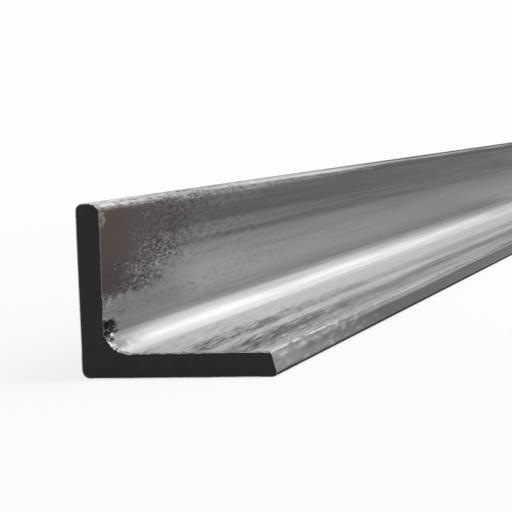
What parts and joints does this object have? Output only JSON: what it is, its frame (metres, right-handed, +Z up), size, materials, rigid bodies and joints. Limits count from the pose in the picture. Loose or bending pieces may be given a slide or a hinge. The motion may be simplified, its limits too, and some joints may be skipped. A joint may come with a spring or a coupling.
{
  "type": "steel angle bar",
  "caption": "Straight hot-rolled steel L-section bar with one leg longer than the other, rounded toes, a root fillet and square-cut ends, for frames, brackets and lintels.",
  "frame": {"origin": "under the middle of the bar, at the centre of its bounding box's bottom, on the outer face of the long leg that it rests on", "axes": "+Y along the bar, away from the end that the picture shows; +Z up the short leg; +X from the heel towards the long leg's toe"},
  "size_m": [0.1016, 1.8288, 0.0889],
  "materials": {
    "rolled_steel": "hot-rolled, grey with darker mill-scale streaks along the bar and a brown-violet patch near one end; cut ends near black"
  },
  "bodies": {
    "root": {"angle_bar": "rolled_steel"}
  },
  "joints": []
}
